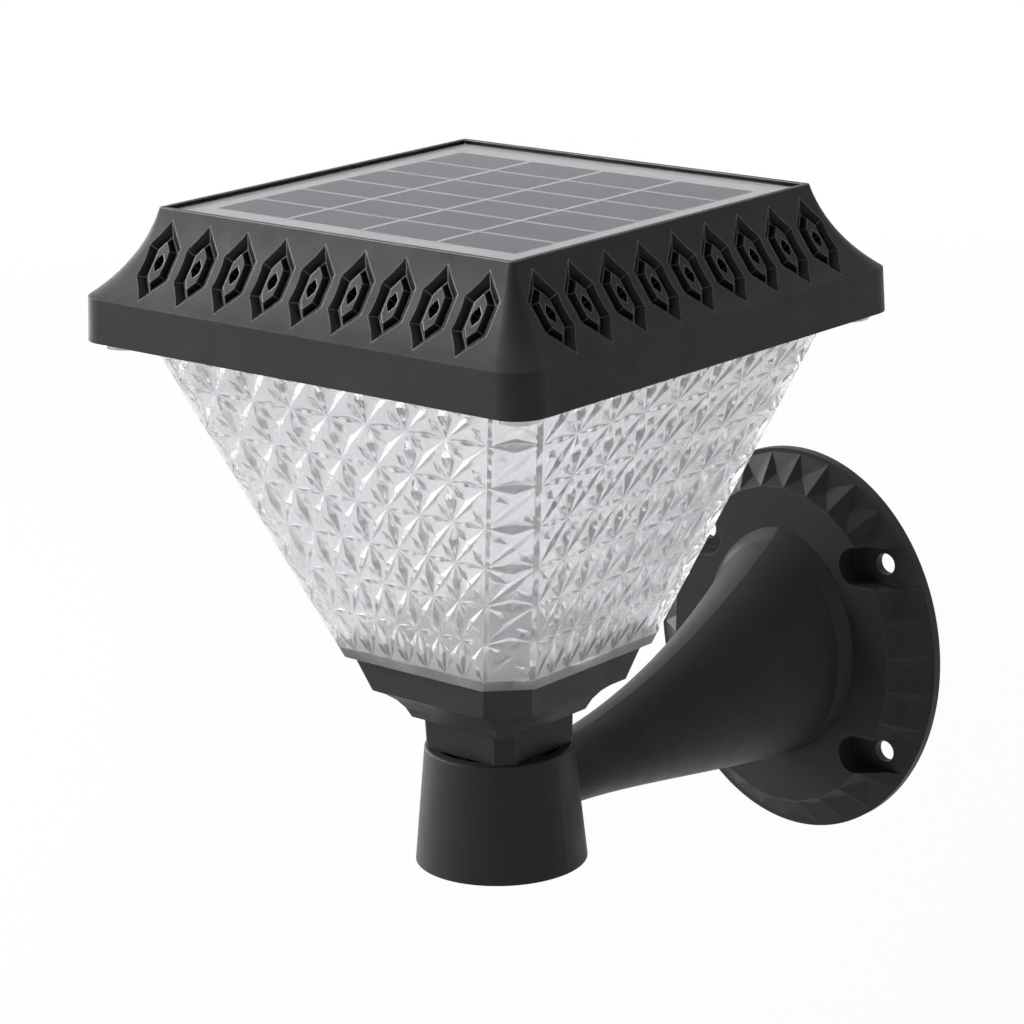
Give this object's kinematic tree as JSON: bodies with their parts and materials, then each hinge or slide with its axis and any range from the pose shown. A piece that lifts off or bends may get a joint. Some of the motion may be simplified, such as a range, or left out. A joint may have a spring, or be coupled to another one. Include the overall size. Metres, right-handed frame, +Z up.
{
  "type": "solar wall light",
  "caption": "Square solar wall lamp with a patterned roof cap, tapered clear lens and a trumpet arm on an oval wall plate; the head turns on the arm.",
  "frame": {"origin": "centre of the four wall screw holes on the wall plate's back face", "axes": "+Z up, +Y into the wall, the lamp stands out to -Y and +X is to its right seen from the room"},
  "size_m": [0.12, 0.168, 0.1674],
  "materials": {
    "black_plastic": "satin moulded",
    "screw_steel": "bright zinc",
    "insert_brass": "turned",
    "clear_lens": "clear, moulded facets",
    "gasket_rubber": "matte",
    "panel_glass": "clear, glossy",
    "ribbon_metal": "tinned",
    "silicon": "dark, slightly glossy",
    "white_plastic": "white moulded",
    "lead_sleeve": "smooth sleeve",
    "board_laminate": "solder mask",
    "led_phosphor": "phosphor under clear resin",
    "component_black": "matte",
    "cell_sleeve": "shrink sleeve over a metal can"
  },
  "bodies": {
    "bracket": {"wall_plate": "black_plastic", "bracket_arm": "black_plastic", "arm_screws": "screw_steel"},
    "head": {"neck": "black_plastic", "thread_insert": "insert_brass", "clamp_bolt": "screw_steel", "clamp_washer": "screw_steel", "base_screws": "screw_steel", "lens": "clear_lens", "lens_gasket": "gasket_rubber", "cap_screws": "screw_steel", "roof_cap": "black_plastic", "panel_cover": "panel_glass", "cell_ribbons": "ribbon_metal", "solar_cells": "silicon", "panel_backsheet": "white_plastic", "panel_tape": "gasket_rubber", "panel_leads": "lead_sleeve", "inner_tray": "white_plastic", "tray_screws": "screw_steel", "led_board": "board_laminate", "leds": "led_phosphor", "led_screws": "screw_steel", "battery_cradle": "component_black", "battery": "cell_sleeve", "battery_contacts": "ribbon_metal", "control_board": "board_laminate", "board_parts": "component_black", "board_screws": "screw_steel", "switch_body": "component_black"},
    "button": {"mode_button": "black_plastic", "button_clip": "ribbon_metal", "switch_plunger": "component_black"}
  },
  "joints": [
    {"name": "head_swivel", "type": "hinge", "parent": "bracket", "child": "head", "pos_m": [0, -0.108, 0.0041], "axis": [0, 0, 1], "continuous": true},
    {"name": "mode_press", "type": "slide", "parent": "head", "child": "button", "axis": [0, 0, 1], "range_m": [0, 0.0005], "stiffness_N_per_m": 600, "springref_m": -0.0003}
  ]
}
